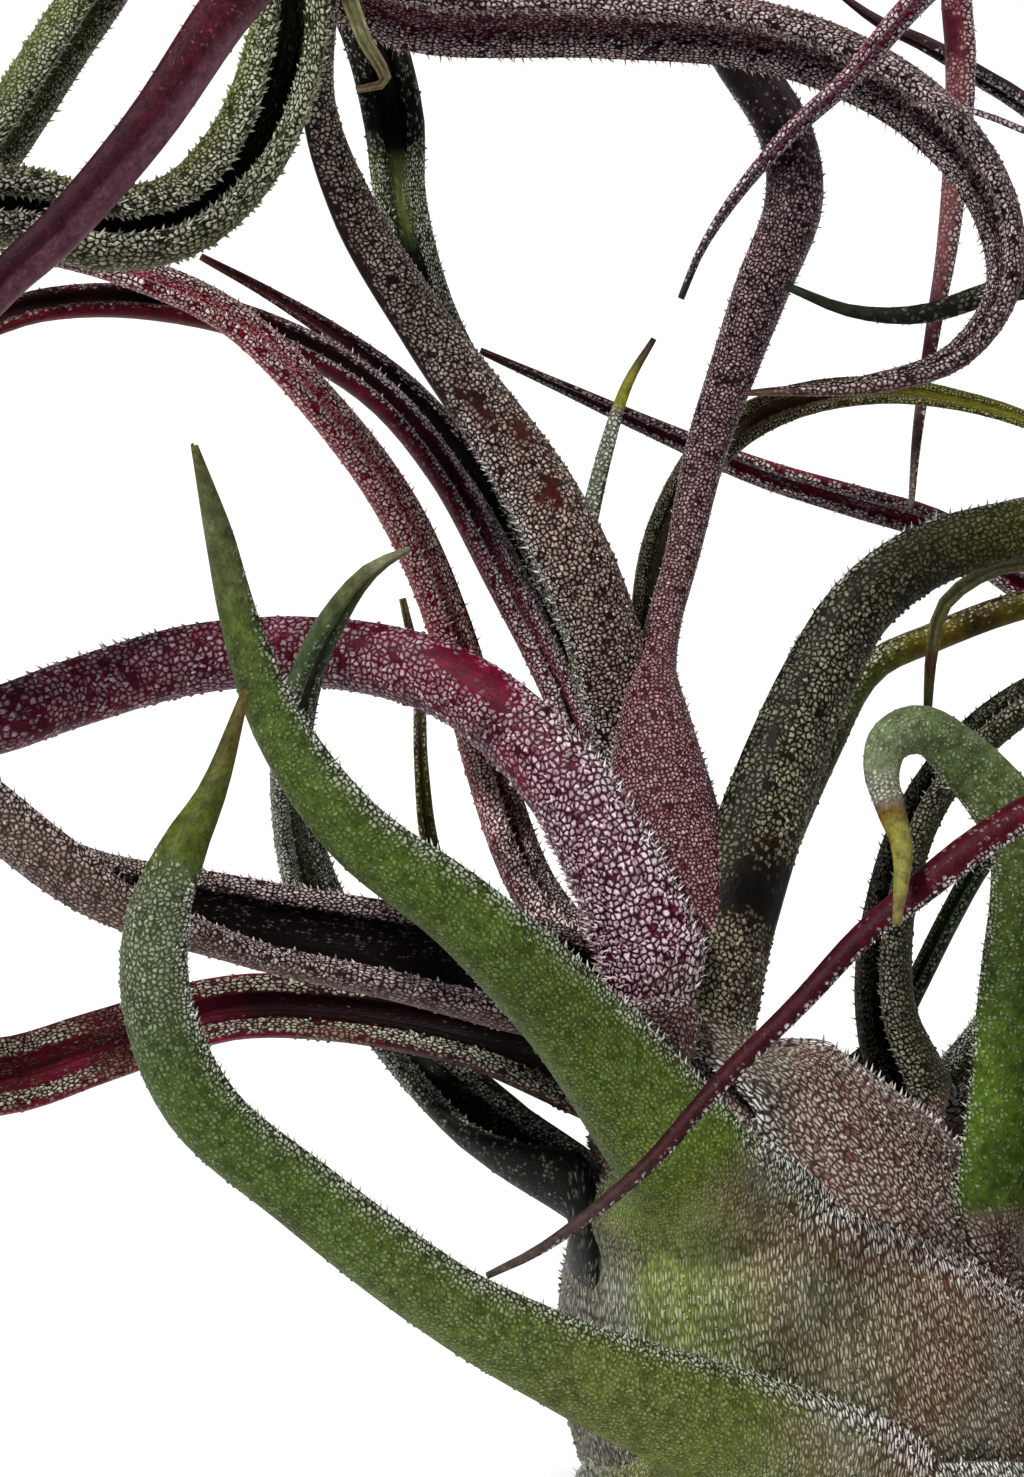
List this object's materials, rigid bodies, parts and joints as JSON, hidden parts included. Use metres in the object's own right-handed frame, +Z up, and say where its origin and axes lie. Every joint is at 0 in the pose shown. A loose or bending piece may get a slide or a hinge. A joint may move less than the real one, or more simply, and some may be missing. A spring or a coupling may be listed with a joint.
{
  "type": "air plant",
  "caption": "Unpotted rosette of channelled, curling silver-scaled blades rising from a bulb of inflated leaf sheaths, resting on the bulb's flat foot",
  "frame": {"origin": "middle of the flat spot under the bulb, on the surface that the plant rests on", "axes": "+Z up, -Y towards the viewer of the picture, +X to the viewer's right"},
  "size_m": [0.1455, 0.1194, 0.1235],
  "materials": {
    "leaf_green": "matte, covered with silvery scales",
    "leaf_maroon": "matte, covered with silvery scales",
    "leaf_brown": "matte, covered with silvery scales",
    "heart": "matte, dry"
  },
  "bodies": {
    "root": {"foot_leaf_left_front": "leaf_green", "foot_leaf_left_back": "leaf_green", "foot_leaf_right_front": "leaf_green", "foot_leaf_right_back": "leaf_green", "foot_leaf_back": "leaf_green", "leaf_behind_right": "leaf_green", "leaf_before_right": "leaf_green", "leaf_low_green": "leaf_green", "leaf_upper_green": "leaf_green", "leaf_green_hook": "leaf_green", "leaf_inner_green": "leaf_green", "leaf_thin_green": "leaf_green", "leaf_young_spike": "leaf_green", "leaf_small_yellow": "leaf_green", "leaf_hanging": "leaf_green", "leaf_left_loop": "leaf_green", "leaf_pink_thread": "leaf_maroon", "leaf_dark_band": "leaf_maroon", "leaf_back_maroon": "leaf_maroon", "leaf_red_left": "leaf_maroon", "leaf_maroon_left": "leaf_maroon", "leaf_dark_left": "leaf_maroon", "leaf_maroon_arch": "leaf_maroon", "leaf_long_crossing": "leaf_maroon", "leaf_tall_loop": "leaf_maroon", "leaf_front_hanging": "leaf_maroon", "leaf_brown_thick": "leaf_brown", "leaf_dark_arch": "leaf_brown", "leaf_dark_behind": "leaf_brown", "leaf_olive_arch": "leaf_brown", "leaf_olive_right": "leaf_brown", "leaf_channelled": "leaf_brown", "leaf_front_diagonal": "leaf_brown", "bulb_heart": "heart"}
  },
  "joints": []
}
